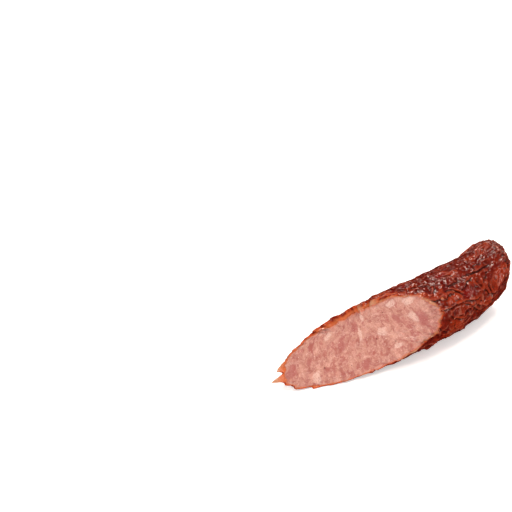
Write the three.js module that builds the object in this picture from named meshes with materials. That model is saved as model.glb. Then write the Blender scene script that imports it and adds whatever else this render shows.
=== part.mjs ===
// A dried, smoked sausage cut on a long slant: a wrinkled casing with a torn rim, and the coarse meat
// filling that runs through it to the closed end. Millimetres, +Z up. The sausage lies along +X, closed
// end at +X, and its cut face looks to -Y and up. Lengths along the sausage are measured from the middle
// of the cut face.
import * as THREE from "three";
import { ParametricGeometry } from "three/addons/geometries/ParametricGeometry.js";
import { mergeVertices } from "three/addons/utils/BufferGeometryUtils.js";

const { degToRad, lerp, smoothstep, clamp } = THREE.MathUtils;

// Body: radius of the skin at the cut, at its thickest and at the shoulder of the closed end.
const CUT_RADIUS = 15.2;
const MIDDLE_RADIUS = 16.2;
const END_RADIUS = 13.8;
const MIDDLE_AT = 55;
const SHOULDER_AT = 91.7;
const END_LENGTH = 11.6;
const END_BLUNTNESS = 2.25;
const BEND_RADIUS = 500;
const END_RAISED = 2.9;
const FLOOR_SINK = 0.7;

// Cut: the knife's plane leans this far from the sausage's axis, and the face looks this far above the floor.
// Its sides lie deeper than its middle, one side deeper than the other, and its far end is blunt.
const CUT_ANGLE = degToRad(20.5);
const FACE_TILT = degToRad(34.2);
const SIDES_DEEPER = 1.2;
const SIDE_SKEW = 4.3;
const BLUNT_END = 2.4;
const FACE_BUMPS = 0.4;

// Casing wall, with a broad rind on the face's upper side that thins out further in, the space between casing
// and filling, how deep the wrinkles go, and how far past the cut the wall's inner side still follows them.
const WALL = 0.7;
const RIND = 3.0;
const RIND_AT = degToRad(84);
const RIND_FULL = degToRad(16);
const RIND_HALF = degToRad(46);
const RIND_THINS_FROM = 8;
const RIND_LENGTH = 40;
const GAP = 0.3;
const DEEPEST_FOLD = 1.3;
const RIM_FOLLOWS = 6;

// The middle of the box round the sausage, which becomes the origin.
const BOX_MIDDLE_X = 27.54;
const BOX_MIDDLE_Y = 3.73;

// Torn casing: where round the rim, from the tip of the cut, its width on either side, and how far past
// the cut it reaches.
const RIM_TEARS = [
  { at: degToRad(7), below: degToRad(6), above: degToRad(14), reach: 4.4 },
  { at: degToRad(-6.5), below: degToRad(9), above: degToRad(6), reach: 7.4 },
  { at: degToRad(-50), below: degToRad(6), above: degToRad(8), reach: 2.8 },
  { at: degToRad(32), below: degToRad(7), above: degToRad(7), reach: 1.8 },
];

// Broad swellings and hollows: how far along and round the sausage, how high and how wide.
const SWELLINGS = [
  { along: 16, round: degToRad(55), height: 1.2, width: 16 },
  { along: 81, round: degToRad(58), height: -1.3, width: 15 },
  { along: 85.5, round: degToRad(232), height: 1.5, width: 14 },
  { along: 52, round: degToRad(228), height: 0.3, width: 12 },
];

// Long folds, each with a groove on its right: its height, the groove's depth, and points along it, given as
// lengths along the sausage and degrees round it.
const FOLDS = [
  { height: 0.1, groove: 1.1, points: [[61, 123], [70, 129], [76, 130], [85, 135]] },
  { height: 0.7, groove: 0.2, points: [[37, 94], [40, 102], [40, 112], [36, 121], [31, 123]] },
  { height: 0.5, groove: 0.7, points: [[58, 157], [53, 139], [49, 129], [44, 124]] },
  { height: 0.8, groove: 1.0, points: [[69, 169], [60, 162], [50, 155], [44, 157], [38, 153], [32, 146]] },
  { height: 0.9, groove: 0.8, points: [[82, 191], [74, 183], [69, 182], [65, 178]] },
  { height: 0.8, groove: 0.9, points: [[74, 192], [70, 195], [64, 187], [59, 177]] },
  { height: 0.7, groove: 0.7, points: [[60, 176], [56, 184], [52, 186], [47, 180], [42, 168]] },
  { height: 0.7, groove: 0.4, points: [[79, 178], [77, 166], [78, 152]] },
];
const FOLD_HALF = 0.9;
const FOLD_NEAR = 3;

const MERIDIANS = 104;
const SKIN_ROWS = 40;
const WALL_ROWS = 8;
const FACE_ROWS = 5;

const FACE_WAY = Math.PI - FACE_TILT;
const TIP = FACE_WAY + Math.PI;
const SLANT = 1 / Math.tan(CUT_ANGLE);
const END_ARC = 0.86 * (END_RADIUS + END_LENGTH);
const LAST = SHOULDER_AT + END_ARC;
const POLE_CALM = 7;
const GIRTH = 2 * Math.PI * MIDDLE_RADIUS;

// Repeatable noise on the unrolled skin: x along the sausage, y round it in whole periods.
function hash(i, j, seed) {
  const wave = Math.sin(i * 127.1 + j * 311.7 + seed * 74.7) * 43758.5453;
  return wave - Math.floor(wave);
}

function fade(t) {
  return t * t * t * (t * (t * 6 - 15) + 10);
}

function noise(x, y, period, seed) {
  const i = Math.floor(x);
  const j = Math.floor(y);
  const u = x - i;
  const v = y - j;
  const corner = (di, dj) => {
    const turn = 2 * Math.PI * hash(i + di, (((j + dj) % period) + period) % period, seed);
    return Math.cos(turn) * (u - di) + Math.sin(turn) * (v - dj);
  };
  const low = lerp(corner(0, 0), corner(1, 0), fade(u));
  const high = lerp(corner(0, 1), corner(1, 1), fade(u));
  return lerp(low, high, fade(v));
}

function apart(angle, other) {
  return Math.abs(Math.atan2(Math.sin(angle - other), Math.cos(angle - other)));
}

// Shallow bowls that meet in sharp ridges: the height, and how far the nearest ridge is.
function bowls(x, y, period, seed) {
  const i = Math.floor(x);
  const j = Math.floor(y);
  let lowest = 9;
  let second = 9;
  for (let di = -1; di <= 1; di += 1) {
    for (let dj = -1; dj <= 1; dj += 1) {
      const row = (((j + dj) % period) + period) % period;
      const cx = i + di + 0.5 + 0.9 * (hash(i + di, row, seed) - 0.5);
      const cy = j + dj + 0.5 + 0.9 * (hash(i + di, row, seed + 17) - 0.5);
      const height = (cx - x) ** 2 + (cy - y) ** 2 + 0.3 * hash(i + di, row, seed + 31);
      second = Math.min(second, Math.max(height, lowest));
      lowest = Math.min(lowest, height);
    }
  }
  return { lowest, fromRidge: second - lowest };
}

// 1 at one place round the sausage and 0 far from it.
function around(angle, middle, half) {
  return Math.exp(-((apart(angle, degToRad(middle)) / degToRad(half)) ** 2));
}

// A ridge along the line through the points, with a groove beside it, and how near the line is.
function longFold(m, angle, { height, groove, points }) {
  const y = MIDDLE_RADIUS * ((angle % (2 * Math.PI)) + 2 * Math.PI) % GIRTH;
  let nearest = 99;
  let beside = 99;
  let share = 0;
  for (let n = 0; n < points.length - 1; n += 1) {
    const [start, end] = [points[n], points[n + 1]].map(([along, round]) => {
      return new THREE.Vector2(along, MIDDLE_RADIUS * degToRad(round));
    });
    const way = end.clone().sub(start);
    const from = new THREE.Vector2(m, y).sub(start);
    const t = clamp(from.dot(way) / way.lengthSq(), 0, 1);
    const side = Math.sign(from.cross(way));
    const far = from.addScaledVector(way, -t).length();
    if (far < nearest) {
      nearest = far;
      beside = side * far;
      share = (n + t) / (points.length - 1);
    }
  }
  const taper = Math.sqrt(Math.sin(Math.PI * clamp(share, 0.04, 0.96)));
  const ridge = height * Math.exp(-((nearest / FOLD_HALF) ** 2));
  const dip = groove * Math.exp(-((beside / FOLD_HALF - 2) ** 2));
  const near = Math.exp(-((nearest / FOLD_NEAR) ** 2));
  return { lift: taper * (ridge - dip), near: taper * near };
}

// Height of the wrinkled skin over the smooth one, at m along a meridian and angle round the sausage.
function wrinkle(m, angle) {
  const turn = angle / (2 * Math.PI);
  const driftAlong = 3.2 * noise(m / 18, turn * 6, 6, 1) + 1.8 * noise(m / 6, turn * 16, 16, 2);
  const driftRound = 2.4 * noise(m / 16, turn * 7, 7, 3) + 1.4 * noise(m / 5, turn * 20, 20, 4);
  const x = m + driftAlong;
  const y = turn + driftRound / GIRTH;
  const swell = 0.6 * noise(m / 26, turn * 4, 4, 5);
  const shallow = (1 - 0.55 * around(angle, 72, 34)) * (1 - 0.35 * smoothstep(m, 86, 102));
  const { lowest, fromRidge } = bowls(x / 8.5, y * 21, 21, 8);
  const pinched = Math.exp(-fromRidge / 0.3) * (0.3 + 1.5 * noise(m / 9, turn * 12, 12, 6));
  const valleys = Math.max(0, 1 - Math.abs(noise(x / 24, y * 9, 9, 7)) / 0.12);
  const large = 1.5 * lowest + 0.55 * pinched - 0.8 * valleys;
  const drawn = FOLDS.map((fold) => longFold(m, angle, fold));
  const near = Math.max(...drawn.map((fold) => fold.near));
  const lifts = drawn.reduce((sum, fold) => sum + fold.lift, 0);
  return swell + shallow * (1 - 0.6 * near) * large + lifts - 0.45;
}

// Folds are slight where the cut meets the skin at a flat angle: most of all at its tip.
function calmAtCut(m, angle) {
  const awayFromTip = Math.cos(angle - FACE_WAY);
  const flat = 0.85 * Math.max(0, -awayFromTip) ** 1.5 + 0.35 * Math.max(0, awayFromTip) ** 2;
  return flat * (1 - smoothstep(m - cutAt(angle, CUT_RADIUS), 3, 13));
}

function swelling(m, angle) {
  const heights = SWELLINGS.map(({ along, round, height, width }) => {
    const far = Math.hypot(m - along, MIDDLE_RADIUS * apart(angle, round));
    return height * Math.exp(-((far / width) ** 2));
  });
  return heights.reduce((sum, height) => sum + height, 0);
}

// The plain body of revolution, before the bend.
function bodyRadius(s) {
  const towardsMiddle = (MIDDLE_RADIUS - CUT_RADIUS) * smoothstep(s, 0, MIDDLE_AT);
  const towardsEnd = (MIDDLE_RADIUS - END_RADIUS) * smoothstep(s, MIDDLE_AT, SHOULDER_AT);
  return CUT_RADIUS + towardsMiddle - towardsEnd;
}

function meridian(m) {
  const lean = (Math.PI / 2) * clamp((m - SHOULDER_AT) / END_ARC, 0, 1);
  const power = 2 / END_BLUNTNESS;
  return {
    lean,
    along: Math.min(m, SHOULDER_AT) + END_LENGTH * Math.sin(lean) ** power,
    radius: bodyRadius(m) * Math.max(0, Math.cos(lean)) ** power,
  };
}

// The axis lies level over the floor and rises a little towards the closed end.
function axisHeight(along) {
  const pastMiddle = Math.max(0, along - MIDDLE_AT) / (SHOULDER_AT - MIDDLE_AT);
  return MIDDLE_RADIUS - FLOOR_SINK + END_RAISED * pastMiddle ** 4;
}

function floorRadius(along, angle) {
  const down = -Math.sin(angle);
  return down > 0 ? axisHeight(along) / down : Infinity;
}

// Wrinkles die out on the strip that the sausage lies on and at the very pole of the closed end.
function skinLift(m, angle) {
  const clearOfFloor = smoothstep(apart(angle, -Math.PI / 2), degToRad(14), degToRad(34));
  const clearOfPole = 1 - smoothstep(m, LAST - POLE_CALM, LAST);
  const folds = Math.max(-DEEPEST_FOLD, wrinkle(m, angle));
  const lift = folds * (1 - calmAtCut(m, angle)) + swelling(m, angle);
  return lift * clearOfFloor * clearOfPole;
}

function bend(along, side, up, target) {
  const turn = Math.max(0, along) / BEND_RADIUS;
  const x = Math.min(0, along) + (BEND_RADIUS - side) * Math.sin(turn);
  const y = BEND_RADIUS * (1 - Math.cos(turn)) + side * Math.cos(turn);
  return target.set(x - BOX_MIDDLE_X, y - BOX_MIDDLE_Y, axisHeight(along) + up);
}

function skinPoint(m, angle, lift, depth, target) {
  const { lean, along, radius } = meridian(m);
  const s = along + (lift - depth) * Math.sin(lean);
  const reach = radius + (lift - depth) * Math.cos(lean);
  const r = Math.min(Math.max(0, reach), floorRadius(s, angle) - depth);
  return bend(s, r * Math.cos(angle), r * Math.sin(angle), target);
}

// How far the cut lies past the knife's plane, along the sausage.
function cutOffPlane(angle) {
  const turn = angle - FACE_WAY;
  const skew = SIDE_SKEW * Math.sin(2 * turn) + SIDES_DEEPER * Math.sin(turn) ** 2;
  return skew - BLUNT_END * Math.max(0, Math.cos(turn)) ** 4;
}

function cutAt(angle, radius) {
  return radius * SLANT * Math.cos(angle - FACE_WAY) + cutOffPlane(angle);
}

// Where the casing ends: the cut, with small nicks and a few torn points past it.
function rimAt(angle) {
  const tears = RIM_TEARS.map(({ at, below, above, reach }) => {
    const past = Math.atan2(Math.sin(angle - TIP - at), Math.cos(angle - TIP - at));
    return reach * Math.max(0, 1 - (past < 0 ? -past / below : past / above));
  });
  const nicks = 0.5 * noise(3.5, (angle / (2 * Math.PI)) * 30, 30, 21);
  const steepness = Math.hypot(1, SLANT * Math.sin(angle - FACE_WAY));
  return cutAt(angle, CUT_RADIUS) + nicks * steepness - Math.max(...tears);
}

function wallAt(m, angle) {
  const beside = smoothstep(apart(angle, TIP + RIND_AT), RIND_FULL, RIND_HALF);
  const further = smoothstep(m - cutAt(angle, CUT_RADIUS), RIND_THINS_FROM, RIND_LENGTH);
  return lerp(RIND, WALL, Math.max(beside, further));
}

// The wall's inner side starts under the lowest fold near the rim and runs on under the deepest of all.
function insidePoint(m, angle, gap, target) {
  const rim = rimAt(angle);
  const step = (LAST - rim) / SKIN_ROWS;
  const rimLift = Math.min(...[0, 1, 2].map((row) => skinLift(rim + row * step, angle)));
  const follows = clamp((smoothFrom(angle) - m) / (smoothFrom(angle) - rim), 0, 1);
  return skinPoint(m, angle, lerp(-DEEPEST_FOLD, rimLift, follows), wallAt(m, angle) + gap, target);
}

function smoothFrom(angle) {
  return cutAt(angle, CUT_RADIUS) + RIM_FOLLOWS;
}

function insideRow(angle, row) {
  return lerp(smoothFrom(angle), LAST, (row - 1) / (WALL_ROWS - 1));
}

function shorterDiagonals(geometry) {
  geometry.deleteAttribute("normal");
  geometry.deleteAttribute("uv");
  const merged = mergeVertices(geometry, 1e-5);
  const place = merged.getAttribute("position");
  const at = (n) => new THREE.Vector3().fromBufferAttribute(place, n);
  const old = merged.getIndex().array;
  const kept = [];
  for (let n = 0; n < old.length; n += 6) {
    const [a, b, d, , c] = old.slice(n, n + 5);
    const shorter = at(a).distanceTo(at(c)) < at(b).distanceTo(at(d));
    const halves = shorter ? [[a, b, c], [a, c, d]] : [[a, b, d], [b, c, d]];
    for (const half of halves) {
      if (new Set(half).size === 3) kept.push(...half);
    }
  }
  merged.setIndex(kept);
  merged.computeVertexNormals();
  return merged;
}

// Rows run from the pole of the closed end over the skin to the rim, then back along the inside of the wall.
function casingGeometry() {
  const rows = SKIN_ROWS + 1 + WALL_ROWS;
  const surface = (u, v, target) => {
    const angle = -2 * Math.PI * u;
    const rim = rimAt(angle);
    const row = Math.round(v * rows);
    if (row <= SKIN_ROWS) {
      const m = lerp(LAST, rim, row / SKIN_ROWS);
      skinPoint(m, angle, skinLift(m, angle), 0, target);
    } else {
      const inward = row - SKIN_ROWS - 1;
      const innerRim = rim - wallAt(rim, angle) * SLANT * Math.cos(angle - FACE_WAY);
      insidePoint(inward === 0 ? innerRim : insideRow(angle, inward), angle, 0, target);
    }
  };
  return shorterDiagonals(new ParametricGeometry(surface, MERIDIANS, rows));
}

// Rows run from the pole of the closed end along the side to the edge of the cut, then in to the face's middle.
function fillingGeometry() {
  const rows = WALL_ROWS + FACE_ROWS;
  const middle = bend(0, 0, 0, new THREE.Vector3());
  const smoothEdge = new THREE.Vector3();
  const outOfFace = new THREE.Vector3(
    -Math.sin(CUT_ANGLE),
    -Math.cos(CUT_ANGLE) * Math.cos(FACE_TILT),
    Math.cos(CUT_ANGLE) * Math.sin(FACE_TILT),
  );
  const surface = (u, v, target) => {
    const angle = -2 * Math.PI * u;
    const depth = wallAt(rimAt(angle), angle) + GAP;
    const edge = cutAt(angle, CUT_RADIUS - depth);
    const row = Math.round(v * rows);
    if (row <= WALL_ROWS) {
      const inward = WALL_ROWS - row;
      insidePoint(inward === 0 ? edge : insideRow(angle, inward), angle, GAP, target);
    } else {
      const outward = 1 - (row - WALL_ROWS) / FACE_ROWS;
      insidePoint(edge, angle, GAP, target);
      target.lerp(skinPoint(edge, angle, 0, depth, smoothEdge), 1 - outward ** 6);
      target.lerp(middle, 1 - outward);
      target.x -= (outward - outward ** 2) * cutOffPlane(angle);
      const bumps = FACE_BUMPS * noise(target.x / 12, target.z / 8, 64, 31);
      target.addScaledVector(outOfFace, bumps * (1 - outward ** 2));
    }
  };
  return shorterDiagonals(new ParametricGeometry(surface, MERIDIANS, rows));
}

function piece(name, geometry, color, roughness) {
  const mesh = new THREE.Mesh(geometry, new THREE.MeshStandardMaterial({ color, roughness, metalness: 0 }));
  mesh.name = name;
  return mesh;
}

const sausage = new THREE.Group();
sausage.add(piece("casing", casingGeometry(), 0x7c2c21, 0.35));
sausage.add(piece("filling", fillingGeometry(), 0xd19587, 0.55));

export default sausage;
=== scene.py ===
"""A dried, smoked sausage cut on a long slant: the wrinkled casing with its torn rim, and the coarse
meat that it holds. Shapes are worked out in millimetres and written to the meshes in metres. Lengths
along the sausage (m, along) are measured from the middle of the cut face, and angles round it from its
far side, up over the top and down towards the viewer."""

import math

import bmesh
import bpy
import numpy as np
from mathutils import Matrix, Vector


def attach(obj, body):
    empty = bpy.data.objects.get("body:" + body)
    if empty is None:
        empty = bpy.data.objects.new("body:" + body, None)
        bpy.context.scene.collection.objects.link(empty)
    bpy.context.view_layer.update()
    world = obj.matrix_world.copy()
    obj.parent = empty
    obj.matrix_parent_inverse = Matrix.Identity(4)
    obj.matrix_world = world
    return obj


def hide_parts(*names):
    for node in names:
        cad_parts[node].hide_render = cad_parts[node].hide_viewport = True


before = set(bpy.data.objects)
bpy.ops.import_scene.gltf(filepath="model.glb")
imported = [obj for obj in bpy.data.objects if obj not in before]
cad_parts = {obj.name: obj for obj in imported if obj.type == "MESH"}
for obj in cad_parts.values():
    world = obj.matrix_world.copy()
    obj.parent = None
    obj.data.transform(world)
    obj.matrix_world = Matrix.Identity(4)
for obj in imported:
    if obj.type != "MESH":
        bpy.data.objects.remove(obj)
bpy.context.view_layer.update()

MM = 0.001
FAR_OFF = 1e9

# The body: radius of the skin at the cut, at its thickest and at the shoulder of the closed end. The end is
# an oval quarter, and its arc is taken as ARC_SHARE of its two half axes together.
CUT_RADIUS = 15.2
MIDDLE_RADIUS = 16.2
END_RADIUS = 13.8
MIDDLE_AT = 55.0
SHOULDER_AT = 91.7
END_LENGTH = 11.6
END_BLUNTNESS = 2.25
BEND_RADIUS = 500.0
END_RAISED = 2.9
FLOOR_SINK = 0.7
ARC_SHARE = 0.86
END_ARC = ARC_SHARE * (END_RADIUS + END_LENGTH)
LAST = SHOULDER_AT + END_ARC
GIRTH = 2 * math.pi * MIDDLE_RADIUS
AXIS_HEIGHT = MIDDLE_RADIUS - FLOOR_SINK

# The cut: how the knife's plane leans, and how the face departs from it.
CUT_ANGLE = math.radians(20.5)
FACE_TILT = math.radians(34.2)
SIDES_DEEPER = 1.2
SIDE_SKEW = 4.3
BLUNT_END = 2.4
FAR_BITE = 2.6
FACE_WAY = math.pi - FACE_TILT
SLANT = 1 / math.tan(CUT_ANGLE)
TIP = FACE_WAY + math.pi

# The middle of the box round the sausage, where the frame has its origin.
BOX_MIDDLE = (27.54, 3.73)

# The casing's wall, thinner where it is torn, with a broad rind on the face's upper side that thins out
# further in. Its inner side turns smooth there and stays INSIDE_CLEAR under the deepest fold, and the meat
# stays MEAT_GAP inside it.
WALL = 0.4
TORN_WALL = 0.3
RIND = 3.0
RIND_AT = FACE_WAY - math.radians(96)
RIND_FULL = math.radians(16)
RIND_HALF = math.radians(46)
RIND_THINS_FROM = 8.0
RIND_LENGTH = 40.0
INSIDE_TURNS_SMOOTH = (5.0, 32.0)
INSIDE_CLEAR = 0.4
MEAT_GAP = 0.03

# Torn points of the rim: (degrees from the tip, its width on either side, how far it reaches past the cut).
RIM_TEARS = (
    (7, 6, 14, 4.4),
    (-6.5, 9, 6, 7.4),
    (-50, 6, 8, 2.8),
    (-38, 6, 5, 1.4),
    (32, 7, 7, 1.8),
)

# Heights of the wrinkles: soft waves, hollows between folds, pinched ridges, valleys and small lumps, and how
# far all of it is sunk so that the skin keeps its girth. No fold goes deeper than DEEPEST_FOLD.
WAVES = 0.6
HOLLOWS = 1.5
RIDGES = 0.55
VALLEYS = 0.8
LUMPS = 0.55
SUNK = 0.6
DEEPEST_FOLD = 1.7

# How far folds lean down for each millimetre of height, and where a place's depth among the folds is
# measured: at HOLLOW_STEPS points in a ring of HOLLOW_REACH round it.
FOLD_LEAN = 0.8
HOLLOW_REACH = 1.1
HOLLOW_STEPS = 8

# Where the skin is calm: on the strip that the sausage lies on, at the pole, and just behind the cut, most
# of all at its tip. Pairs say where the calm starts to end and where it is over.
LAID_FLAT = (math.radians(14), math.radians(34))
POLE_CALM = 7.0
CALM_BEHIND_CUT = (3, 13)
CALM_AT_TIP = 0.85
CALM_AT_FAR_END = 0.35

# Broad swellings and hollows of the skin: (along, round in degrees, height, width).
SWELLINGS = (
    (16, 55, 1.2, 16),
    (58, 60, -1.0, 13),
    (84, 58, -0.6, 13),
    (91, 48, -1.7, 8),
    (85.5, 232, 1.5, 14),
    (52, 228, 0.3, 12),
)

# Long folds of the skin, each with a groove on its right: height, groove's depth, (along, round in degrees).
FOLDS = (
    (0.1, 1.1, ((61, 123), (70, 129), (76, 130), (85, 135))),
    (0.7, 0.2, ((37, 94), (40, 102), (40, 112), (36, 121), (31, 123))),
    (0.5, 0.7, ((58, 157), (53, 139), (49, 129), (44, 124))),
    (0.8, 1.0, ((69, 169), (60, 162), (50, 155), (44, 157), (38, 153), (32, 146))),
    (0.9, 0.8, ((82, 191), (74, 183), (69, 182), (65, 178))),
    (0.8, 0.9, ((74, 192), (70, 195), (64, 187), (59, 177))),
    (0.7, 0.7, ((60, 176), (56, 184), (52, 186), (47, 180), (42, 168))),
    (0.7, 0.4, ((79, 178), (77, 166), (78, 152))),
    (0.6, 0.6, ((62, 205), (55, 200), (49, 203), (44, 199))),
    (0.7, 0.5, ((84, 205), (78, 202), (73, 206))),
)

# A long fold's half width, how far round it the other wrinkles are calmer, and how far its groove reaches.
FOLD_HALF = 0.55
FOLD_NEAR = 2.2
GROOVE_NEAR = 3

# Wet, dark patches of the skin: (along, round in degrees, half length, half width).
WET_PATCHES = (
    (30.5, 77, 4.5, 1.7),
    (22.0, 80, 2.0, 1.0),
    (51.0, 96, 4.0, 2.4),
    (58.0, 150, 4.5, 2.6),
)

# Lumps of pale fat and of dark lean meat in the cut face: (along, across, half length, half width).
FAT_LUMPS = (
    (9.1, 0.0, 2.6, 2.2),
    (27.7, -0.7, 2.2, 3.0),
    (29.8, -8.0, 3.6, 1.8),
    (12.8, 8.7, 2.6, 1.5),
    (20.4, -10.1, 2.8, 1.6),
    (-19.4, -8.2, 1.9, 2.3),
    (-26.5, 7.6, 2.2, 3.0),
    (2.6, -11.6, 1.4, 2.4),
    (-1.5, -3.7, 1.1, 4.6),
)
LEAN_LUMPS = (
    (31.0, 1.6, 4.2, 5.4),
    (-3.8, 10.3, 2.9, 2.3),
    (-29.1, -0.1, 2.1, 2.0),
    (-38.3, 0.9, 3.2, 3.4),
    (-12.0, -2.0, 2.2, 4.5),
    (-4.0, -8.5, 2.4, 3.6),
    (19.0, -3.0, 2.0, 3.2),
)

# Specks of pepper in the cut face: (along, across, radius).
PEPPER_SPECKS = (
    (-22.0, 5.0, 0.34),
    (5.3, 2.0, 0.34),
    (12.7, 6.4, 0.26),
    (14.7, -8.3, 0.24),
    (-10.0, 8.8, 0.22),
)

# How far the meat's streaks turn from the cut's length, and the size of its grains.
STREAK_TILT = math.radians(24)
GRAIN_SIZE = 2.6

# The meshes: faces round the sausage, along its skin, over the rim's edge and along the wall's inner side,
# and the cells of the cut face, with rows along the side of the meat.
ROUND = 330
SKIN_ROWS = 257
EDGE_ROWS = 8
INSIDE_ROWS = 18
FACE_CELLS = (300, 112)
SIDE_ROWS = 12

# The camera: the photograph is 512 pixels square, and the middle of the cut face lies at FACE_PIXEL.
PHOTO_SIZE = 512
FACE_PIXEL = (364.8, 339.2)
PIXELS_PER_MM = 2.17
CAMERA_DISTANCE = 700.0
CAMERA_TURN = math.radians(41.7)
CAMERA_ELEVATION = math.radians(25)
SENSOR = 36.0

# The room, in metres: the floor's half side, its own glow and the room's, and the colour of the soft boxes.
FLOOR_HALF = 3.0
FLOOR_GLOW = 0.42
ROOM_GLOW = 0.36
WARM = (1.0, 0.84, 0.74)


def smoothstep(x, low, high):
    t = np.clip((x - low) / (high - low), 0, 1)
    return t * t * (3 - 2 * t)


def mix(a, b, share):
    return a + (b - a) * share


def angle_apart(angle, other):
    return np.abs(np.arctan2(np.sin(angle - other), np.cos(angle - other)))


def around(angle, middle, half):
    """1 at one place round the sausage and 0 far from it, with both given in degrees."""
    return np.exp(-((angle_apart(angle, math.radians(middle)) / math.radians(half)) ** 2))


# Repeatable noise: y comes back to its start after a whole number of periods, as the skin does.


def hash_of(i, j, seed):
    wave = np.sin(i * 127.1 + j * 311.7 + seed * 74.7) * 43758.5453
    return wave - np.floor(wave)


def fade(t):
    return t * t * t * (t * (t * 6 - 15) + 10)


def noise(x, y, period, seed):
    i, j = np.floor(x), np.floor(y)
    u, v = x - i, y - j

    def corner(di, dj):
        turn = 2 * math.pi * hash_of(i + di, np.mod(j + dj, period), seed)
        return np.cos(turn) * (u - di) + np.sin(turn) * (v - dj)

    low = mix(corner(0, 0), corner(1, 0), fade(u))
    high = mix(corner(0, 1), corner(1, 1), fade(u))
    return mix(low, high, fade(v))


def bowls(x, y, period, seed):
    """Shallow bowls that meet in sharp ridges: height, how far the ridge is, and a number for each bowl."""
    i, j = np.floor(x), np.floor(y)
    lowest = np.full(np.shape(x), FAR_OFF)
    second = lowest.copy()
    kind = lowest.copy()
    for di in (-1, 0, 1):
        for dj in (-1, 0, 1):
            row = np.mod(j + dj, period)
            cx = i + di + 0.5 + 0.9 * (hash_of(i + di, row, seed) - 0.5)
            cy = j + dj + 0.5 + 0.9 * (hash_of(i + di, row, seed + 17) - 0.5)
            height = (cx - x) ** 2 + (cy - y) ** 2 + 0.3 * hash_of(i + di, row, seed + 31)
            second = np.minimum(second, np.maximum(height, lowest))
            kind = np.where(height < lowest, hash_of(i + di, row, seed + 53), kind)
            lowest = np.minimum(lowest, height)
    return lowest, second - lowest, kind


def skin_noise(x, turn, size, count, seed):
    """Noise on the unrolled skin: features about size long, and count of them in a turn."""
    return noise(x / size, turn * count, count, seed)


def skin_bowls(x, turn, size, count, seed):
    return bowls(x / size, turn * count, count, seed)


def ring_noise(turn, row, count, seed):
    """Noise round the rim alone, with count features in a turn."""
    return noise(row + 0 * turn, turn * count, count, seed)


def meat_noise(along, across, length, width, seed):
    """Noise on the cut face, shifted and with a long period so that it never comes back to its start."""
    return noise(along / length, across / width + 50, 1000, seed)


def crease(value, width):
    return np.maximum(0, 1 - np.abs(value) / width)


# The skin.


def drifted(m, angle):
    """Places on the unrolled skin, pushed about so that its folds waver: x in mm and y in turns."""
    turn = angle / (2 * math.pi)
    along = 3.2 * skin_noise(m, turn, 18, 6, 1) + 1.8 * skin_noise(m, turn, 6, 16, 2)
    across = 2.4 * skin_noise(m, turn, 16, 7, 3) + 1.4 * skin_noise(m, turn, 5, 20, 4)
    along_finely = skin_noise(m, turn, 2.4, 42, 14)
    across_finely = 0.9 * skin_noise(m, turn, 2.4, 42, 15)
    return m + along + along_finely, turn + (across + across_finely) / GIRTH


def facets(m, angle):
    """The net of folds: broad smooth hollows that meet in ridges."""
    x, y = drifted(m, angle)
    return skin_bowls(x, y, 8.5, 21, 8)


def along_line(x, y, points):
    """How far a line on the unrolled skin is, the same with a sign for its side, and the share along it."""
    nearest = np.full(np.shape(x), FAR_OFF)
    beside = nearest.copy()
    share = 0 * x
    count = len(points) - 1
    for n, ((m0, round0), (m1, round1)) in enumerate(zip(points, points[1:])):
        x0, y0 = m0, MIDDLE_RADIUS * math.radians(round0)
        dx, dy = m1 - m0, MIDDLE_RADIUS * math.radians(round1) - y0
        t = np.clip(((x - x0) * dx + (y - y0) * dy) / (dx * dx + dy * dy), 0, 1)
        far = np.hypot(x - x0 - t * dx, y - y0 - t * dy)
        side = ((x - x0) * dy - (y - y0) * dx) / math.hypot(dx, dy)
        closer = far < nearest
        beside = np.where(closer, np.where(side > 0, far, -far), beside)
        share = np.where(closer, (n + t) / count, share)
        nearest = np.minimum(nearest, far)
    return nearest, beside, share


def long_fold(m, angle, height, depth, points):
    """A ridge along the line through the points, with a groove beside it, and how near the line is."""
    turn = angle / (2 * math.pi)
    x = m + 0.7 * skin_noise(m, turn, 5, 20, 12)
    y = MIDDLE_RADIUS * np.mod(angle, 2 * math.pi) + 0.7 * skin_noise(m, turn, 4, 25, 13)
    nearest, beside, share = along_line(x, y, points)
    taper = np.sqrt(np.maximum(0, np.sin(math.pi * np.clip(share, 0.04, 0.96))))
    ridge = height * np.exp(-((nearest / FOLD_HALF) ** 2))
    off_groove = (beside - 2 * FOLD_HALF) / (1.1 * FOLD_HALF)
    groove = depth * np.exp(-(off_groove**2)) * (nearest < GROOVE_NEAR)
    return taper * (ridge - groove), taper * np.exp(-((nearest / FOLD_NEAR) ** 2))


def long_folds(m, angle):
    total, near = 0 * m, 0 * m
    for height, depth, points in FOLDS:
        fold, close = long_fold(m, angle, height, depth, points)
        total = total + fold
        near = np.maximum(near, close)
    return total, near


def wrinkle(m, angle):
    """Height of the wrinkled skin over the smooth one, at m along a meridian and angle round the sausage."""
    turn = angle / (2 * math.pi)
    x, y = drifted(m, angle)
    waves = WAVES * skin_noise(m, turn, 26, 4, 5)
    shallow = (1 - 0.55 * around(angle, 72, 34)) * (1 - 0.35 * smoothstep(m, 86, 102))
    hollows, from_ridge, _ = facets(m, angle)
    pinch = 0.3 + 1.5 * skin_noise(m, turn, 9, 12, 6)
    pinched = np.exp(-from_ridge / 0.2) * pinch
    valleys = -crease(skin_noise(x, y, 24, 9, 7), 0.09)
    large = HOLLOWS * hollows + RIDGES * pinched + VALLEYS * valleys
    drawn, near = long_folds(m, angle)
    small, from_crest, _ = skin_bowls(x, y, 4.2, 40, 9)
    lumps = LUMPS * small + 0.15 * np.exp(-from_crest / 0.3)
    return waves + shallow * (1 - 0.6 * near) * large + (1 - 0.5 * near) * lumps + drawn - SUNK


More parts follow.
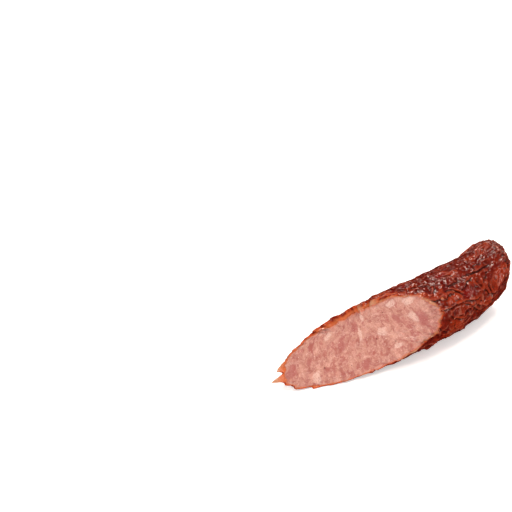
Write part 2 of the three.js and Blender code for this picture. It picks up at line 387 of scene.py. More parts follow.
def fine_wrinkle(m, angle):
    """Small wrinkles that the solids leave out."""
    fine = 0.15 + 0.75 * around(angle, 80, 34) + 0.8 * smoothstep(m, 88, 100)
    bumps = skin_bowls(m, angle / (2 * math.pi), 2.1, 68, 10)[0]
    return fine * (0.32 * bumps - 0.1)


def swelling(m, angle):
    total = 0 * m
    for along, round_at, height, width in SWELLINGS:
        far = np.hypot(m - along, MIDDLE_RADIUS * angle_apart(angle, math.radians(round_at)))
        total = total + height * np.exp(-((far / width) ** 2))
    return total


def calm_at_cut(m, angle):
    """Folds are slight where the cut meets the skin at a flat angle: most of all at its tip."""
    towards_tip = -np.cos(angle - FACE_WAY)
    at_tip = CALM_AT_TIP * np.maximum(0, towards_tip) ** 1.5
    at_far_end = CALM_AT_FAR_END * np.maximum(0, -towards_tip) ** 2
    return (at_tip + at_far_end) * (1 - smoothstep(m - cut_at(angle, CUT_RADIUS), *CALM_BEHIND_CUT))


def skin_lift(m, angle):
    """Wrinkles die out on the strip that the sausage lies on and at the very pole of the closed end."""
    clear_of_floor = smoothstep(angle_apart(angle, -math.pi / 2), *LAID_FLAT)
    clear_of_pole = 1 - smoothstep(m, LAST - POLE_CALM, LAST)
    folds = np.maximum(-DEEPEST_FOLD, wrinkle(m, angle) + fine_wrinkle(m, angle))
    lift = folds * (1 - calm_at_cut(m, angle)) + swelling(m, angle)
    return lift * clear_of_floor * clear_of_pole


def hollow(m, angle):
    """How far the skin lies under the skin round it: more than 0 in creases, less on crests."""
    total = 0 * m
    for step in range(HOLLOW_STEPS):
        turn = 2 * math.pi * step / HOLLOW_STEPS
        along = HOLLOW_REACH * math.cos(turn)
        round_by = HOLLOW_REACH * math.sin(turn) / MIDDLE_RADIUS
        total = total + skin_lift(m + along, angle + round_by)
    return total / HOLLOW_STEPS - skin_lift(m, angle)


# The body.


def body_radius(s):
    towards_middle = (MIDDLE_RADIUS - CUT_RADIUS) * smoothstep(s, 0, MIDDLE_AT)
    towards_end = (MIDDLE_RADIUS - END_RADIUS) * smoothstep(s, MIDDLE_AT, SHOULDER_AT)
    return CUT_RADIUS + towards_middle - towards_end


def axis_height(along):
    """The axis lies level over the floor and rises a little towards the closed end."""
    past_middle = np.maximum(0, along - MIDDLE_AT) / (SHOULDER_AT - MIDDLE_AT)
    return AXIS_HEIGHT + END_RAISED * past_middle**4


def bend(along, side, up):
    turn = np.maximum(0, along) / BEND_RADIUS
    x = np.minimum(0, along) + (BEND_RADIUS - side) * np.sin(turn)
    y = BEND_RADIUS * (1 - np.cos(turn)) + side * np.cos(turn)
    return np.stack([x - BOX_MIDDLE[0], y - BOX_MIDDLE[1], axis_height(along) + up], -1)


def skin_point(m, angle, lift, depth):
    """The place of a point lifted off the smooth skin, and depth under that."""
    lean = (math.pi / 2) * np.clip((m - SHOULDER_AT) / END_ARC, 0, 1)
    power = 2 / END_BLUNTNESS
    along = np.minimum(m, SHOULDER_AT) + END_LENGTH * np.sin(lean) ** power
    radius = body_radius(m) * np.maximum(0, np.cos(lean)) ** power
    s = along + (lift - depth) * np.sin(lean)
    reach = np.maximum(0, radius + (lift - depth) * np.cos(lean))
    down, level = -np.sin(angle), 0.05
    floor_reach = np.where(down > level, axis_height(s) / np.maximum(down, level), FAR_OFF)
    r = np.minimum(reach, np.maximum(0, floor_reach - depth))
    return bend(s, r * np.cos(angle), r * np.sin(angle))


# The cut.


def cut_off_plane(angle):
    """How far the cut lies past the knife's plane, along the sausage."""
    turn = angle - FACE_WAY
    skew = SIDE_SKEW * np.sin(2 * turn) + SIDES_DEEPER * np.sin(turn) ** 2
    return skew - BLUNT_END * np.maximum(0, np.cos(turn)) ** 4 - FAR_BITE * around(turn, 24, 30)


def cut_at(angle, radius):
    return radius * SLANT * np.cos(angle - FACE_WAY) + cut_off_plane(angle)


def rim_steepness(angle):
    """How much longer the rim is, along the sausage, than the same stretch measured across it."""
    return np.hypot(1, SLANT * np.sin(angle - FACE_WAY))


def ragged_edge(angle):
    """How far the edge of the cut wavers and is nicked, along the sausage."""
    turn = angle / (2 * math.pi)
    waver = 1.5 * ring_noise(turn, 5.5, 26, 23)
    teeth = 0.8 * crease(ring_noise(turn, 2.5, 60, 24), 0.4) - 0.3
    far_end = np.maximum(0, np.cos(angle - FACE_WAY)) ** 4
    corners = 3.2 * crease(ring_noise(turn, 8.5, 18, 25), 0.5) - 1.6
    return (waver + teeth) * rim_steepness(angle) + corners * far_end


def torn_reach(angle):
    """How far the torn points reach past the cut."""
    torn = 0 * angle
    for *angles, reach in RIM_TEARS:
        at, below, above = map(math.radians, angles)
        past = np.arctan2(np.sin(angle - TIP - at), np.cos(angle - TIP - at))
        share = np.where(past < 0, -past / below, past / above)
        torn = np.maximum(torn, reach * np.maximum(0, 1 - share))
    return torn


def rim_at(angle):
    """Where the casing ends: the cut, with small nicks and a few torn points past it."""
    turn = angle / (2 * math.pi)
    nicks = 0.5 * ring_noise(turn, 3.5, 30, 21)
    teeth = 0.45 * crease(ring_noise(turn, 1.5, 75, 22), 0.3) - 0.2
    clean = cut_at(angle, CUT_RADIUS) + (nicks - teeth) * rim_steepness(angle)
    return clean + ragged_edge(angle) - torn_reach(angle)


def wall_at(m, angle):
    """The casing's thickness."""
    beside = smoothstep(angle_apart(angle, RIND_AT), RIND_FULL, RIND_HALF)
    further = smoothstep(m - cut_at(angle, CUT_RADIUS), RIND_THINS_FROM, RIND_LENGTH)
    tear = smoothstep(cut_at(angle, CUT_RADIUS) - rim_at(angle), 0.5, 4) * (1 - further)
    return mix(mix(RIND, WALL, np.maximum(beside, further)), TORN_WALL, tear)


def inner_lift(m, angle):
    """The wall's inner side follows the skin at the cut and turns smooth further in."""
    follows = 1 - smoothstep(m - cut_at(angle, CUT_RADIUS), *INSIDE_TURNS_SMOOTH)
    smooth = np.minimum(0, swelling(m, angle)) - DEEPEST_FOLD - INSIDE_CLEAR
    return mix(smooth, skin_lift(m, angle), follows)


# Meshes.


def grid_mesh(name, columns, rows, size):
    """A flat grid that reaches size to either side of its middle."""
    mesh = bpy.data.meshes.new(name)
    bm = bmesh.new()
    bmesh.ops.create_grid(bm, x_segments=columns, y_segments=rows, size=size)
    bm.to_mesh(mesh)
    bm.free()
    return mesh


def grid_places(mesh):
    """The grid's own places, from 0 to 1 across and up."""
    co = np.empty(len(mesh.vertices) * 3)
    mesh.vertices.foreach_get("co", co)
    co = co.reshape(-1, 3)
    return co[:, 0] + 0.5, co[:, 1] + 0.5


def put_places(mesh, places):
    mesh.vertices.foreach_set("co", (places * MM).astype(np.float32).ravel())
    mesh.update()


def put_values(mesh, name, values):
    layer = mesh.attributes.new(name, "FLOAT", "POINT")
    layer.data.foreach_set("value", np.asarray(values, np.float32))


def put_vectors(mesh, name, x, y, z):
    layer = mesh.attributes.new(name, "FLOAT_VECTOR", "POINT")
    layer.data.foreach_set("vector", np.stack([x, y, z], -1).astype(np.float32).ravel())


def close_mesh(mesh):
    """Welds the seam and the poles, turns the faces outwards and shades them smooth."""
    bm = bmesh.new()
    bm.from_mesh(mesh)
    bmesh.ops.remove_doubles(bm, verts=bm.verts, dist=1e-7)
    bmesh.ops.dissolve_degenerate(bm, dist=1e-8, edges=bm.edges)
    bmesh.ops.recalc_face_normals(bm, faces=bm.faces)
    for face in bm.faces:
        face.smooth = True
    bm.to_mesh(mesh)
    bm.free()
    mesh.update()


def add_piece(mesh, node, material):
    piece = bpy.data.objects.new(mesh.name, mesh)
    bpy.context.scene.collection.objects.link(piece)
    mesh.materials.append(material)
    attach(piece, "root")
    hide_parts(node)


# The casing.


def rim_glow(m, angle, rim):
    """Light that gets in at the rim shines through the casing, furthest over the rind."""
    turn = angle / (2 * math.pi)
    rind = 1 - smoothstep(angle_apart(angle, RIND_AT), 0.5 * RIND_HALF, 1.2 * RIND_HALF)
    far_end = np.maximum(0, np.cos(angle - FACE_WAY)) ** 3
    reach = (1.0 + 4.0 * rind + 1.6 * skin_noise(m, turn, 5, 20, 41)) * (1 - 0.6 * far_end)
    return 1 - smoothstep((m - rim) / rim_steepness(angle), 0.3 * reach, reach)


def wet_patches(m, angle):
    m = m + 1.2 * skin_noise(m, angle / (2 * math.pi), 3, 34, 51)
    field = 0 * m
    for along, round_at, half_length, half_width in WET_PATCHES:
        side = MIDDLE_RADIUS * angle_apart(angle, math.radians(round_at)) / half_width
        field = np.maximum(field, 1 - smoothstep(np.hypot((m - along) / half_length, side), 0.6, 1.1))
    return field


def leaning(angle, lift):
    """Folds lean down a little on either side of the sausage."""
    return angle - FOLD_LEAN * np.cos(angle) * lift / MIDDLE_RADIUS


def casing_grid(across, up):
    """From the pole of the closed end over the skin to the rim, round its edge and back along the inside."""
    angle = -2 * math.pi * across
    row = np.rint(up * (SKIN_ROWS + EDGE_ROWS + INSIDE_ROWS))
    over_edge = np.clip((row - SKIN_ROWS) / EDGE_ROWS, 0, 1)
    inward = np.clip((row - SKIN_ROWS - EDGE_ROWS) / INSIDE_ROWS, 0, 1)
    rim = rim_at(angle)
    inner_rim = rim - wall_at(rim, angle) * SLANT * np.cos(angle - FACE_WAY)
    outside = mix(LAST, rim, np.minimum(1, row / SKIN_ROWS))
    edge = mix(rim, inner_rim, over_edge)
    inside = mix(inner_rim, LAST, inward**2)
    m = np.where(row <= SKIN_ROWS, outside, np.where(inward > 0, inside, edge))
    return m, angle, rim, over_edge, inward


def casing_places(m, angle, rim, over_edge):
    """Places of the grid's points: the rind's cut edge bulges, and the wall's inner side turns smooth."""
    rim_wall = wall_at(rim, angle)
    wall = np.where(over_edge == 1, wall_at(m, angle), rim_wall)
    lift = np.where(over_edge == 1, inner_lift(m, angle), skin_lift(m, angle))
    rind = smoothstep(rim_wall, 1.2, RIND)
    bulge = 0.45 + 0.5 * noise(m / 4, over_edge * 3, 1000, 42)
    lift = lift + rind * np.sin(math.pi * over_edge) * bulge
    return skin_point(m, leaning(angle, lift), lift, wall * over_edge)


def make_casing(material):
    mesh = grid_mesh("casing_skin", ROUND, SKIN_ROWS + EDGE_ROWS + INSIDE_ROWS, 0.5)
    m, angle, rim, over_edge, inward = casing_grid(*grid_places(mesh))
    put_places(mesh, casing_places(m, angle, rim, over_edge))
    put_values(mesh, "crease", np.where(inward > 0, 0, hollow(m, angle)))
    _, from_ridge, kind = facets(m, angle)
    put_values(mesh, "ridge", np.exp(-from_ridge / 0.16))
    put_values(mesh, "facet", kind)
    # Where pale ridges get painted glints: the lower side and the closed end.
    put_values(mesh, "ridge_glint_zone", np.maximum(around(angle, 205, 42), smoothstep(m, 86, 98)))
    put_values(mesh, "glow", rim_glow(m, angle, rim))
    put_values(mesh, "inside", over_edge)
    put_values(mesh, "torn", smoothstep(cut_at(angle, CUT_RADIUS) - m, 0, 3))
    put_values(mesh, "wet", wet_patches(m, angle))
    put_values(mesh, "to_end", LAST - m)
    put_vectors(mesh, "unrolled", m, MIDDLE_RADIUS * np.cos(angle), MIDDLE_RADIUS * np.sin(angle))
    close_mesh(mesh)
    add_piece(mesh, "casing", material)


# The meat.


def out_of_face():
    """The way that the cut face looks."""
    side = -math.cos(CUT_ANGLE) * math.cos(FACE_TILT)
    up = math.cos(CUT_ANGLE) * math.sin(FACE_TILT)
    return np.array([-math.sin(CUT_ANGLE), side, up])


def face_relief(along, across):
    """The coarse meat stands a little proud or hollow of the knife's cut."""
    lumps = 0.32 * meat_noise(along, across, 8, 7, 31)
    grind = 0.2 * meat_noise(along, across, 3.1, 3.4, 32)
    grain = 0.09 * meat_noise(along, across, 1.3, 1.3, 33)
    return lumps + grind + grain


def lump_field(along, across, lumps):
    """1 inside the lumps and 0 away from them, with wavering edges."""
    along = along + 1.1 * meat_noise(along, across, 3, 3, 34) + 0.5 * meat_noise(along, across, 1, 1, 35)
    across = across + 1.1 * meat_noise(along, across, 3, 3, 36) + 0.5 * meat_noise(along, across, 1, 1, 37)
    field = 0 * along
    for at_along, at_across, half_length, half_width in lumps:
        far = np.hypot((along - at_along) / half_length, (across - at_across) / half_width)
        field = np.maximum(field, 1 - smoothstep(far, 0.3, 1.35))
    return field


def filling_mesh():
    """A fine grid for the cut face, with rows extruded from its edge for the side that the casing hides."""
    mesh = bpy.data.meshes.new("meat_filling")
    bm = bmesh.new()
    row_of = bm.verts.layers.float.new("side_row")
    bmesh.ops.create_grid(bm, x_segments=FACE_CELLS[0], y_segments=FACE_CELLS[1], size=0.5)
    ring = [edge for edge in bm.edges if edge.is_boundary]
    for edge in ring:
        edge.smooth = False
    for row in range(1, SIDE_ROWS + 1):
        made = bmesh.ops.extrude_edge_only(bm, edges=ring)["geom"]
        for vert in (part for part in made if isinstance(part, bmesh.types.BMVert)):
            vert[row_of] = row
        ring = [part for part in made if isinstance(part, bmesh.types.BMEdge) and part.is_boundary]
    bm.to_mesh(mesh)
    bm.free()
    return mesh


def side_rows(mesh):
    rows = np.empty(len(mesh.vertices), np.float32)
    mesh.attributes["side_row"].data.foreach_get("value", rows)
    return rows


def laid_on_disc(across, up):
    """The square grid's places laid over a disc of radius 1: along the cut and across it."""
    x, y = 2 * across - 1, 2 * up - 1
    return x * np.sqrt(1 - y * y / 2), y * np.sqrt(1 - x * x / 2)


def make_filling(material):
    mesh = filling_mesh()
    length, width = laid_on_disc(*grid_places(mesh))
    outward = np.minimum(1, np.hypot(length, width))
    angle = FACE_WAY + np.arctan2(width, length)
    inward = (side_rows(mesh) / SIDE_ROWS) ** 2
    edge_depth = np.maximum(WALL, wall_at(rim_at(angle), angle)) + MEAT_GAP
    edge = cut_at(angle, CUT_RADIUS - edge_depth)
    m = mix(edge + ragged_edge(angle), LAST, inward)
    depth = np.where(inward > 0, np.maximum(WALL, wall_at(m, angle)) + MEAT_GAP, edge_depth)
    side_place = skin_point(m, angle, inner_lift(m, angle), depth)
    smooth_place = skin_point(edge, angle, 0 * edge, edge_depth)
    share = outward[:, None]
    middle = bend(np.zeros(1), 0, 0)
    face = mix(middle, mix(smooth_place, side_place, share**8), share)
    face[:, 0] -= (outward - outward**2) * cut_off_plane(angle)
    along = length * (CUT_RADIUS - WALL) / math.sin(CUT_ANGLE)
    side = width * (CUT_RADIUS - WALL)
    relief = face_relief(along, side) * (1 - outward**12)
    face = face + relief[:, None] * out_of_face()
    put_places(mesh, np.where((inward > 0)[:, None], side_place, face))
    put_vectors(mesh, "cut", along, side, 0 * along)
    least = 0.01
    slope = np.hypot(length * math.sin(CUT_ANGLE), width) / np.maximum(outward, least)
    put_values(mesh, "from_edge", (1 - outward) * (CUT_RADIUS - edge_depth) / np.maximum(slope, least))
    put_values(mesh, "fat", lump_field(along, side, FAT_LUMPS))
    put_values(mesh, "lean", lump_field(along, side, LEAN_LUMPS))
    close_mesh(mesh)
    add_piece(mesh, "filling", material)


# Materials.


def tint(red, green, blue):
    """A colour given as it shows on a screen, from 0 to 255, as the shader's linear values."""

    def linear(value):
        value = value / 255
        return value / 12.92 if value <= 0.04045 else ((value + 0.055) / 1.055) ** 2.4

    return (linear(red), linear(green), linear(blue), 1.0)


MAHOGANY = tint(92, 12, 6)
RED_BROWN = tint(98, 20, 7)
DARK_FACET = tint(88, 8, 4)
BRIGHT_FACET = tint(148, 44, 15)
RUSTY_BLOTCH = tint(134, 34, 12)
# Painted shade for the creases, painted glints on ridges and puckers, and painted light on crests.
FOLD_SHADE = tint(52, 7, 4)
PAINTED_RIDGE_GLINT = tint(188, 118, 96)
PAINTED_CREST_LIGHT = tint(166, 72, 46)
PAINTED_PUCKER_GLINT = tint(176, 118, 104)
RIND_BROWN = tint(122, 28, 10)
RIND_ORANGE = tint(178, 72, 38)
WET_RED = tint(112, 8, 4)
CASING_INSIDE = tint(196, 102, 62)
TORN_CASING = tint(188, 134, 102)

ROSY_MEAT = tint(166, 102, 94)
PALE_MEAT = tint(198, 147, 131)
DARK_GRAIN = tint(172, 100, 94)
LIGHT_GRAIN = tint(212, 160, 144)
PALE_SEAM = tint(218, 172, 158)
PALE_STREAK = tint(220, 174, 160)
PALE_STRAND = tint(222, 178, 164)
DARK_SINEW = tint(166, 92, 84)
LEAN_MEAT = tint(168, 96, 92)
FAT = tint(222, 186, 173)
DARK_SPECKLE = tint(164, 98, 86)
# A painted glint: tiny near-white specks over the cut face.
PAINTED_GLINT_SPECK = tint(240, 212, 198)
SMOKED_EDGE = tint(200, 108, 78)
PEPPER = tint(70, 42, 34)

PAPER = tint(248, 248, 248)
PAPER_FIBRE = tint(250, 250, 250)


class Finish:
    """A material and short calls that add the nodes of its pattern."""

    def __init__(self, name):
        self.material = bpy.data.materials.new(name)
        self.material.use_nodes = True
        self.tree = self.material.node_tree
        self.surface = self.tree.nodes["Principled BSDF"]

    def add(self, kind, **settings):
        made = self.tree.nodes.new(kind)
        for name, value in settings.items():
            setattr(made, name, value)
        return made

    def feed(self, socket, value):
        """Wires a node's output to a socket, or sets a plain value on it."""
        if isinstance(value, bpy.types.NodeSocket):
            self.tree.links.new(value, socket)
        else:
            socket.default_value = value

    def set(self, **values):
        for name, value in values.items():
            self.feed(self.surface.inputs[name.replace("_", " ")], value)

    def value(self, name):
        return self.add("ShaderNodeAttribute", attribute_name=name).outputs["Fac"]

    def vector(self, name):
        return self.add("ShaderNodeAttribute", attribute_name=name).outputs["Vector"]

    def turned(self, vector, stretch, turn=0.0):
        made = self.add("ShaderNodeMapping", vector_type="POINT")
        self.feed(made.inputs["Vector"], vector)
        made.inputs["Rotation"].default_value = (0, 0, turn)
        made.inputs["Scale"].default_value = stretch
        return made.outputs["Vector"]

    def noise(self, vector, size, detail=2.0, rough=0.5, warp=0.0, output="Fac"):
        """Soft noise from 0 to 1, with features about size across."""
        made = self.add("ShaderNodeTexNoise")
        self.feed(made.inputs["Vector"], vector)
        made.inputs["Scale"].default_value = 1 / size
        made.inputs["Detail"].default_value = detail
        made.inputs["Roughness"].default_value = rough
        made.inputs["Distortion"].default_value = warp
        return made.outputs[output]

    def cells(self, vector, size, feature, output):
        made = self.add("ShaderNodeTexVoronoi", feature=feature)
        self.feed(made.inputs["Vector"], vector)
        made.inputs["Scale"].default_value = 1 / size
        return made.outputs[output]

    def step(self, value, low, high, start=0.0, end=1.0):
        """Turns smoothly from start to end as value goes from low to high."""
        made = self.add("ShaderNodeMapRange", interpolation_type="SMOOTHSTEP")
        self.feed(made.inputs["Value"], value)
        made.inputs["From Min"].default_value = low
        made.inputs["From Max"].default_value = high
        made.inputs["To Min"].default_value = start
        made.inputs["To Max"].default_value = end
        return made.outputs["Result"]

    def maths(self, operation, first, second=0.0, third=0.0):
        made = self.add("ShaderNodeMath", operation=operation)
        for socket, value in zip(made.inputs, (first, second, third)):
            self.feed(socket, value)
        return made.outputs["Value"]

    def thread(self, field, level, half, share):
        """Thin lines where a noise passes a level, share strong in their middle."""
        off_line = self.maths("ABSOLUTE", self.maths("SUBTRACT", field, level))
        return self.step(off_line, 0.0, half, share, 0)

    def shifted(self, vector, by, far):
        """A vector pushed about by a noise colour, up to far each way."""
        centred = self.add("ShaderNodeVectorMath", operation="SUBTRACT")
        self.feed(centred.inputs[0], by)
        centred.inputs[1].default_value = (0.5, 0.5, 0.5)
        made = self.add("ShaderNodeVectorMath", operation="MULTIPLY_ADD")
        self.feed(made.inputs[0], centred.outputs["Vector"])
        made.inputs[1].default_value = (2 * far, 2 * far, 2 * far)
        self.feed(made.inputs[2], vector)
        return made.outputs["Vector"]

    def blend(self, share, first, second):
        made = self.add("ShaderNodeMix", data_type="RGBA")
        for index, value in ((0, share), (6, first), (7, second)):
            self.feed(made.inputs[index], value)
        return made.outputs[2]

    def bump(self, height, distance, over=None):
        made = self.add("ShaderNodeBump")
        self.feed(made.inputs["Height"], height)
        made.inputs["Distance"].default_value = distance
        if over is not None:
            self.feed(made.inputs["Normal"], over)
        return made.outputs["Normal"]


def smoked_red(skin, unrolled):
    """Deep red and brown patches, a shade for each facet of the skin, and rusty blotches."""
    patches = skin.noise(unrolled, 11, detail=3)
    blotches = skin.noise(unrolled, 3.2, detail=3, rough=0.6)
    facet = skin.value("facet")
    colour = skin.blend(skin.step(patches, 0.35, 0.65), MAHOGANY, RED_BROWN)
    colour = skin.blend(skin.step(facet, 0.0, 0.35, 0.7, 0), colour, DARK_FACET)
    colour = skin.blend(skin.step(facet, 0.55, 1.0, 0, 0.75), colour, BRIGHT_FACET)
    return skin.blend(skin.step(blotches, 0.45, 0.7, 0, 0.6), colour, RUSTY_BLOTCH)


def folds_and_ridges(skin, unrolled, colour):
    """Painted shade in the folds, painted glints on ridges of the lower side and the closed end, painted
    light on crests and painted highlights on the puckers at the end.
    """
    depth = skin.value("crease")
    # Painted shade: the colour darkens in the creases.
    colour = skin.blend(skin.step(depth, 0.03, 0.3, 0, 0.88), colour, FOLD_SHADE)
    # Painted glints: pale ridges on the lower side and at the closed end.
    pale = skin.step(skin.noise(unrolled, 4.0), 0.42, 0.62)
    ridge_glint_zone = skin.maths("MULTIPLY", skin.step(skin.value("ridge_glint_zone"), 0.0, 1.0, 0.1, 0.55), pale)
    ridge = skin.maths("MULTIPLY", skin.step(skin.value("ridge"), 0.35, 0.9), ridge_glint_zone)
    colour = skin.blend(ridge, colour, PAINTED_RIDGE_GLINT)
    # Painted light: crests paler than the skin round them.
    colour = skin.blend(skin.step(depth, -0.4, -0.12, 0.4, 0), colour, PAINTED_CREST_LIGHT)
    # Painted highlights: pale spots on the puckers near the closed end.
    near_end = skin.step(skin.value("to_end"), 6, 26, 1, 0)
    pucker_glints = skin.step(skin.noise(unrolled, 1.6), 0.5, 0.68, 0, 0.25)
    return skin.blend(skin.maths("MULTIPLY", near_end, pucker_glints), colour, PAINTED_PUCKER_GLINT)


def rim_and_inside(skin, unrolled, colour):
    """Orange where light gets in at the rim, wet dark patches, and the casing's pale inner side and tears."""
    streaks = skin.noise(skin.turned(unrolled, (0.3, 1, 1)), 1.2, detail=3)
    lit = skin.blend(skin.step(streaks, 0.42, 0.6), RIND_BROWN, RIND_ORANGE)
    colour = skin.blend(skin.value("glow"), colour, lit)
    colour = skin.blend(skin.maths("MULTIPLY", skin.value("wet"), 0.8), colour, WET_RED)
    colour = skin.blend(skin.step(skin.value("inside"), 0.4, 0.9), colour, CASING_INSIDE)
    return skin.blend(skin.value("torn"), colour, TORN_CASING)


def casing_finish():
    """Smoked casing: a deep red skin under a glossy film of fat that swells a little."""
    skin = Finish("smoked_casing")
    unrolled = skin.vector("unrolled")
    colour = smoked_red(skin, unrolled)
    colour = folds_and_ridges(skin, unrolled, colour)
    skin.set(Base_Color=rim_and_inside(skin, unrolled, colour))
    gloss = skin.noise(unrolled, 2.4, detail=3)
    skin.set(Roughness=skin.step(gloss, 0.3, 0.7, 0.34, 0.52))
    skin.set(Coat_Weight=0.8, Coat_Roughness=0.1, Coat_IOR=1.5, Specular_IOR_Level=0.03)
    skin.set(Subsurface_Weight=0.12, Subsurface_Radius=(1.0, 0.3, 0.15), Subsurface_Scale=0.0012)
    pores = skin.noise(unrolled, 0.8, detail=3)
    pushed = skin.shifted(unrolled, skin.noise(unrolled, 2.0, output="Color"), 1.0)
    swollen = skin.bump(skin.noise(pushed, 2.7, detail=1), 0.001)
    skin.set(Normal=skin.bump(pores, 0.00014, over=swollen), Coat_Normal=swollen)
    return skin.material


def ground_meat(meat, cut, across):
    """Rosy and pale meat, ground coarse, with broken pale seams between its grains."""
    broad = meat.noise(across, 5.0, detail=5, rough=0.65)
    colour = meat.blend(meat.step(broad, 0.36, 0.62), ROSY_MEAT, PALE_MEAT)
    parts = meat.add("ShaderNodeSeparateColor")
    meat.feed(parts.inputs["Color"], meat.cells(across, GRAIN_SIZE, "SMOOTH_F1", "Color"))
    colour = meat.blend(meat.step(parts.outputs["Red"], 0.5, 0.8, 0, 0.55), colour, DARK_GRAIN)
    colour = meat.blend(meat.step(parts.outputs["Green"], 0.55, 0.85, 0, 0.6), colour, LIGHT_GRAIN)
    seams = meat.step(meat.cells(across, GRAIN_SIZE, "DISTANCE_TO_EDGE", "Distance"), 0.0, 0.2, 0.4, 0)
    broken = meat.step(meat.noise(cut, 3.0), 0.42, 0.6)
    return meat.blend(meat.maths("MULTIPLY", seams, broken), colour, PALE_SEAM)


def streaks_and_sinews(meat, warped, colour):
    streaks = meat.noise(meat.turned(warped, (1.0, 0.4, 1.0), STREAK_TILT), 1.2, detail=3)
    colour = meat.blend(meat.step(streaks, 0.54, 0.72, 0, 0.4), colour, PALE_STREAK)
    strands = meat.noise(warped, 6.0, detail=3, rough=0.6)
    colour = meat.blend(meat.thread(strands, 0.5, 0.022, 0.5), colour, PALE_STRAND)
    sinew = meat.noise(warped, 4.0, detail=3, rough=0.6, warp=0.6)
    return meat.blend(meat.thread(sinew, 0.45, 0.03, 0.4), colour, DARK_SINEW)


def lumps_and_grains(meat, cut, colour):
    """Lumps of lean meat and of speckled fat, dark specks, painted glint specks and a smoked edge at the
    casing.
    """
    speckle = meat.noise(cut, 0.7, detail=3, rough=0.7)
    colour = meat.blend(meat.step(meat.value("lean"), 0.1, 0.95, 0, 0.7), colour, LEAN_MEAT)
    fat = meat.step(meat.value("fat"), 0.1, 0.8, 0, 0.95)
    speckled_fat = meat.maths("MULTIPLY", fat, meat.step(speckle, 0.3, 0.6, 1, 0.7))
    colour = meat.blend(speckled_fat, colour, FAT)
    colour = meat.blend(meat.step(speckle, 0.48, 0.68, 0, 0.5), colour, DARK_SPECKLE)
    # Painted glints: tiny near-white specks over the meat.
    grains = meat.noise(cut, 1.1, rough=0.7)
    colour = meat.blend(meat.step(grains, 0.67, 0.73, 0, 0.75), colour, PAINTED_GLINT_SPECK)
    near_casing = meat.maths("MULTIPLY_ADD", meat.noise(cut, 2.0), 1.4, meat.value("from_edge"))
    return meat.blend(meat.step(near_casing, 0.7, 1.5, 0.75, 0), colour, SMOKED_EDGE)


def peppered(meat, cut, colour):
    ragged = meat.shifted(cut, meat.noise(cut, 0.5, detail=1, output="Color"), 0.25)
    for along, side, radius in PEPPER_SPECKS:
        far = meat.add("ShaderNodeVectorMath", operation="DISTANCE")
        meat.feed(far.inputs[0], ragged)
        far.inputs[1].default_value = (along, side, 0)
        speck = meat.step(far.outputs["Value"], radius * 0.7, radius * 1.3, 0.85, 0)
        colour = meat.blend(speck, colour, PEPPER)
    return colour


def meat_finish():
    """Coarse pork, cut through: pink meat streaked across the face, with lean and fat lumps and pepper."""
    meat = Finish("ground_pork")
    cut = meat.vector("cut")
    warped = meat.shifted(cut, meat.noise(cut, 3.0, output="Color"), 2.2)
    across = meat.turned(warped, (1.0, 0.72, 1.0), STREAK_TILT)
    colour = ground_meat(meat, cut, across)
    colour = streaks_and_sinews(meat, warped, colour)
    colour = lumps_and_grains(meat, cut, colour)
    meat.set(Base_Color=peppered(meat, cut, colour))
    damp = meat.noise(cut, 1.7, detail=3)
    meat.set(Roughness=meat.step(damp, 0.35, 0.65, 0.42, 0.62))
    meat.set(Coat_Weight=0.35, Coat_Roughness=0.14, Specular_IOR_Level=0.1)
    meat.set(Subsurface_Weight=0.25, Subsurface_Radius=(1.0, 0.45, 0.3), Subsurface_Scale=0.002)
    grain = meat.noise(cut, 0.7, detail=3)
    coarse = meat.bump(meat.noise(across, 2.2), 0.0005)
    meat.set(Normal=meat.bump(grain, 0.00025, over=coarse))
    return meat.material


def floor_finish():
    paper = Finish("pale_floor")
    fibre = paper.noise(paper.add("ShaderNodeTexCoord").outputs["Object"], 0.05)
    paper.set(Base_Color=paper.blend(fibre, PAPER, PAPER_FIBRE), Roughness=0.8)
    paper.set(Emission_Color=(1, 1, 1, 1), Emission_Strength=FLOOR_GLOW)
    return paper.material


# Floor, lights and camera.


def make_floor():
    """A pale floor that lights the sausage from below without showing in its gloss."""
    mesh = grid_mesh("floor", 1, 1, FLOOR_HALF)
    floor = bpy.data.objects.new("floor", mesh)
    bpy.context.scene.collection.objects.link(floor)
    mesh.materials.append(floor_finish())
    floor.visible_glossy = False


def view_axes():
    """The camera's right, up and back: the sausage lies turned by CAMERA_TURN under it."""
    e, t = CAMERA_ELEVATION, CAMERA_TURN
    right = Vector((math.cos(t), -math.sin(t), 0))
    up = Vector((math.sin(e) * math.sin(t), math.sin(e) * math.cos(t), math.cos(e)))
    back = Vector((-math.cos(e) * math.sin(t), -math.cos(e) * math.cos(t), math.sin(e)))
    return right, up, back


def make_camera():
    """Sees the middle of the cut face at FACE_PIXEL."""
    right, up, back = view_axes()
    face_middle = Vector((-BOX_MIDDLE[0], -BOX_MIDDLE[1], AXIS_HEIGHT))
    to_right = (FACE_PIXEL[0] - PHOTO_SIZE / 2) / PIXELS_PER_MM
    to_bottom = (FACE_PIXEL[1] - PHOTO_SIZE / 2) / PIXELS_PER_MM
    place = face_middle - to_right * right + to_bottom * up + CAMERA_DISTANCE * back
    data = bpy.data.cameras.new("photo_camera")
    data.sensor_width = SENSOR
    data.lens = SENSOR * CAMERA_DISTANCE * PIXELS_PER_MM / PHOTO_SIZE
    data.clip_start, data.clip_end = 0.01, 20
    camera = bpy.data.objects.new("photo_camera", data)
    turn = Matrix((right, up, back)).transposed().to_4x4()
    camera.matrix_world = Matrix.Translation(place * MM) @ turn
    bpy.context.scene.collection.objects.link(camera)
    bpy.context.scene.camera = camera


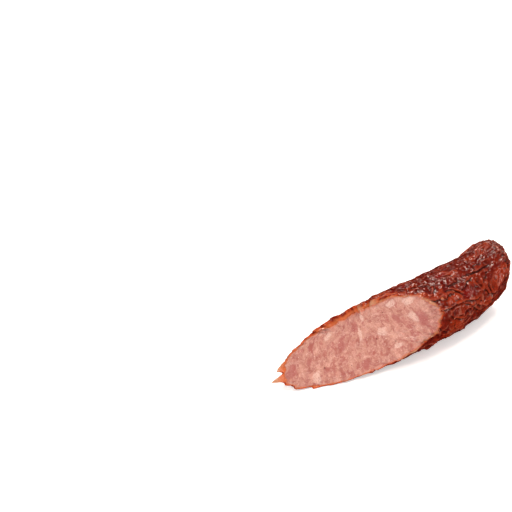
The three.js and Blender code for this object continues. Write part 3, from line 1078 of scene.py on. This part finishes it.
def add_light(name, place, size, power, colour, shines):
    """A rectangle of light that looks at the sausage, and that glossy surfaces show if it shines."""
    data = bpy.data.lights.new(name, "AREA")
    data.shape = "RECTANGLE"
    data.size, data.size_y = size
    data.energy = power
    data.color = colour
    light = bpy.data.objects.new(name, data)
    way = Vector((0, 0, 0.01)) - Vector(place)
    light.matrix_world = Matrix.Translation(place) @ way.to_track_quat("-Z", "Y").to_matrix().to_4x4()
    light.visible_glossy = shines
    bpy.context.scene.collection.objects.link(light)


def soft_box(name, place, size, power):
    """A warm box whose shine shows on the skin."""
    add_light(name, place, size, power, WARM, shines=True)


def fill_light(name, place, size, power):
    """A broad white light that gloss doesn't show."""
    add_light(name, place, size, power, (1, 1, 1), shines=False)


def make_room():
    room = bpy.data.worlds.new("studio")
    room.use_nodes = True
    room.node_tree.nodes["Background"].inputs["Color"].default_value = (1, 1, 1, 1)
    room.node_tree.nodes["Background"].inputs["Strength"].default_value = ROOM_GLOW
    bpy.context.scene.world = room
    room.cycles_visibility.glossy = False
    bpy.context.scene.view_settings.view_transform = "Standard"


def light_scene():
    """Places in metres from the sausage: to the camera's right, away from the camera and overhead."""
    right, _, back = view_axes()
    away = Vector((-back.x, -back.y, 0)).normalized()
    overhead = Vector((0, 0, 1))
    soft_box("key_box", 0.3 * right + 0.35 * away + 0.85 * overhead, (0.34, 0.2), 5.6)
    soft_box("front_box", -0.5 * right - 0.55 * away + 0.55 * overhead, (0.22, 0.18), 2.8)
    soft_box("low_box", 0.7 * right - 0.8 * away + 0.16 * overhead, (0.4, 0.08), 1.5)
    soft_box("right_box", 0.9 * right + 0.1 * away + 0.3 * overhead, (0.12, 0.4), 1.5)
    soft_box("rear_box", 0.9 * away - 0.2 * right + 0.55 * overhead, (0.6, 0.06), 1.2)
    fill_light("ceiling_fill", 0.2 * right + 0.1 * away + 1.1 * overhead, (1.3, 1.3), 4.0)
    fill_light("front_fill", -0.1 * right - 1.0 * away + 0.35 * overhead, (1.2, 0.6), 2.0)
    soft_box("rear_low_box", 0.8 * away - 0.6 * right + 0.25 * overhead, (0.4, 0.12), 1.2)
    fill_light("rear_fill", 0.9 * away + 0.1 * right + 0.5 * overhead, (0.6, 0.4), 0.6)


make_camera()
make_casing(casing_finish())
make_filling(meat_finish())
make_floor()
make_room()
light_scene()
